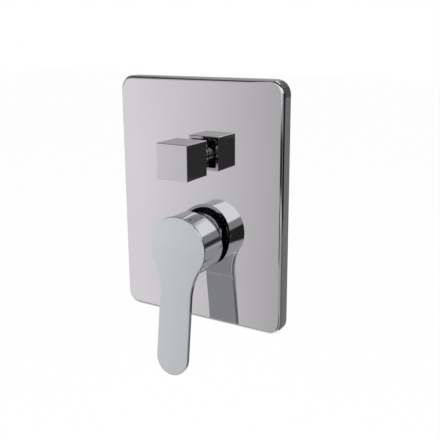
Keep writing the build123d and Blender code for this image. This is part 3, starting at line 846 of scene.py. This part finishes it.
@dataclass
class Studio:
    """The camera of the photograph, the white surroundings, the cards and the lamps."""

    focal_pixels: float = 650.69
    frame_pixels: float = 440.0
    centre_rise_pixels: float = 30.0
    sensor_width: float = 36.0
    nearest_view: float = 0.01
    camera_azimuth: float = 30.139
    camera_elevation: float = 13.423
    camera_roll: float = -0.285
    camera_place: Triple = (0.243184, -0.397421, 0.118743)
    world_strength: float = 0.55
    floor_height: float = -0.45
    floor_reach: float = 8.0
    floor_tone: float = 0.86
    floor_glow_share: float = 0.97
    cards: tuple[Card, ...] = (
        Card("left_card", (-80.0, -41.0), (-38.0, 6.0), (0.81, 0.80), 0.6),
        Card("front_card", (-41.0, -15.0), (-38.0, 6.0), (0.80, 0.44), 0.6),
        Card("front_fade_card", (-15.0, 4.0), (-38.0, 6.0), (0.44, 0.98), 0.6),
        Card("upper_left_card", (-80.0, -15.0), (2.0, 26.0), (0.54, 0.47)),
        Card("upper_fade_card", (-15.0, 4.0), (2.0, 26.0), (0.44, 0.98), 0.61),
        Card("low_front_card", (-80.0, 8.0), (-86.0, -38.0), (0.43, 0.38), 0.48),
        Card("camera_side_card", (17.0, 62.0), (-16.0, 16.0), (0.30, 0.26), 0.52, feather=4.0),
        Card("camera_low_card", (-16.0, 66.0), (-88.0, -10.0), (0.42, 0.36), 0.5, feather=8.0),
        Card("knob_dark_card", (15.0, 51.0), (-13.0, 0.8), (0.037, 0.037), 0.47, feather=4.0),
        Card("edge_dark_card", (-14.0, 24.0), (-18.0, 6.0), (0.03, 0.03), 0.47, feather=9.0),
        Card("right_dark_card", (56.0, 116.0), (-18.0, 18.0), (0.015, 0.02), 0.5, feather=5.0),
        Card("right_low_card", (56.0, 116.0), (-88.0, -11.0), (0.14, 0.14), 0.51),
        Card("right_behind_card", (112.0, 180.0), (-60.0, 4.0), (0.18, 0.19), 0.5),
        Card("high_right_card", (56.0, 190.0), (-12.0, 66.0), (0.06, 0.10), 0.7, feather=6.0),
        Card("low_behind_card", (-180.0, -95.0), (-60.0, 3.0), (0.32, 0.34), 0.5),
        Card("behind_card", (-180.0, -95.0), (-2.0, 23.0), (0.42, 0.36), 0.7),
        Card("high_behind_card", (-180.0, -95.0), (21.0, 88.0), (0.38, 0.34)),
        Card("high_left_card", (-95.0, -26.0), (26.0, 58.0), (0.07, 0.04)),
        Card("ceiling_card", (-95.0, -26.0), (56.0, 88.0), (0.34, 0.30)),
        Card("high_front_card", (-30.0, 64.0), (32.0, 88.0), (0.05, 0.05), 0.7, feather=8.0),
        Card(
            "head_flag", (10.0, 41.0), (-31.0, 8.0), (0.02, 0.02), 0.085,
            centre=(0.022, -0.027, MIXER_HEIGHT), feather=6.0,
        ),
        Card(
            "lever_flag", (24.0, 56.0), (-50.0, -16.0), (0.03, 0.03), 0.1,
            centre=(0.02, -0.03, -0.085), feather=5.0,
        ),
    )
    lamps: tuple[Softbox, ...] = (
        Softbox("key_softbox", -55.0, 48.0, 1.1, 0.6, 9.0),
        Softbox("fill_softbox", 75.0, 40.0, 1.3, 0.7, 5.0),
        Softbox("rear_softbox", 175.0, 50.0, 1.3, 0.7, 6.0),
    )

    def place_camera(self) -> None:
        """Sets the camera at the photograph's viewpoint."""
        data = bpy.data.cameras.new("photo_camera")
        data.sensor_width = self.sensor_width
        data.lens = self.focal_pixels * self.sensor_width / self.frame_pixels
        data.shift_y = -self.centre_rise_pixels / self.frame_pixels
        data.clip_start = self.nearest_view
        turn, roll = math.radians(self.camera_azimuth), math.radians(self.camera_roll)
        back = heading(self.camera_azimuth, self.camera_elevation)
        level = Vector((math.cos(turn), math.sin(turn), 0.0))
        upright = back.cross(level)
        right = math.cos(roll) * level + math.sin(roll) * upright
        up = math.cos(roll) * upright - math.sin(roll) * level
        camera = show("photo_camera", data)
        facing = Matrix((right, up, back)).transposed().to_4x4()
        camera.matrix_world = Matrix.Translation(self.camera_place) @ facing
        bpy.context.scene.camera = camera

    def seen_plainly(self, sheet: NodeSheet) -> bpy.types.NodeSocket:
        """Where a camera, mirror or glass ray meets the surroundings.

        Args:
            sheet: the tree to draw in.

        Returns:
            A socket that is 1 for those rays and 0 for the rest.
        """
        path = sheet.add("ShaderNodeLightPath").outputs
        first = sheet.maths("MAXIMUM", path[Ray.CAMERA.value], path[Ray.GLOSSY.value])
        return sheet.maths("MAXIMUM", first, path[Ray.TRANSMISSION.value])

    def light_world(self) -> None:
        """A white world that lights the object at a plain level."""
        world = bpy.data.worlds.new("studio_world")
        world.use_nodes = True
        bpy.context.scene.world = world
        sheet = NodeSheet(world.node_tree)
        strength = sheet.spread(self.seen_plainly(sheet), (0.0, 1.0), (self.world_strength, 1.0))
        background = sheet.add("ShaderNodeBackground", {"Color": tone(1.0, 1.0, 1.0), "Strength": strength})
        sheet.add("ShaderNodeOutputWorld", {"Surface": background.outputs[0]})

    def lay_floor(self) -> None:
        """A plain pale floor that keeps a soft shadow."""
        reach = self.floor_reach
        mesh = bpy.data.meshes.new("pale_floor")
        corners = [(-reach, -reach), (reach, -reach), (reach, reach), (-reach, reach)]
        mesh.from_pydata([(x, y, self.floor_height) for x, y in corners], [], [(0, 1, 2, 3)])
        material = bpy.data.materials.new("pale_floor")
        material.use_nodes = True
        sheet = NodeSheet(material.node_tree)
        share = sheet.spread(self.seen_plainly(sheet), (0.0, 1.0), (0.0, self.floor_glow_share))
        matte = sheet.add("ShaderNodeBsdfDiffuse", {"Color": tone(*[self.floor_tone] * 3)})
        glow = sheet.add("ShaderNodeEmission", {"Strength": 1.0})
        mixed = sheet.add("ShaderNodeMixShader", {0: share, 1: matte.outputs[0], 2: glow.outputs[0]})
        sheet.add("ShaderNodeOutputMaterial", {"Surface": mixed.outputs[0]})
        mesh.materials.append(material)
        floor = show("pale_floor", mesh)

    def build(self) -> None:
        """Sets up everything round the object."""
        bpy.context.scene.view_settings.view_transform = "Standard"
        self.place_camera()
        self.light_world()
        self.lay_floor()
        for item in (*self.cards, *self.lamps):
            item.make()
        LOG.info("studio: %d cards and %d lamps", len(self.cards), len(self.lamps))


def main() -> None:
    """Builds the studio, then every sub-assembly, and reports each piece."""
    logging.basicConfig(level=logging.INFO, format="%(name)s: %(message)s")
    Studio().build()
    for assembly in (TrimPlate(), LeverSet(), Cartridge(), DiverterSet(), ValveBody()):
        assembly.build()
        assembly.dress()


if __name__ == "__main__":
    main()
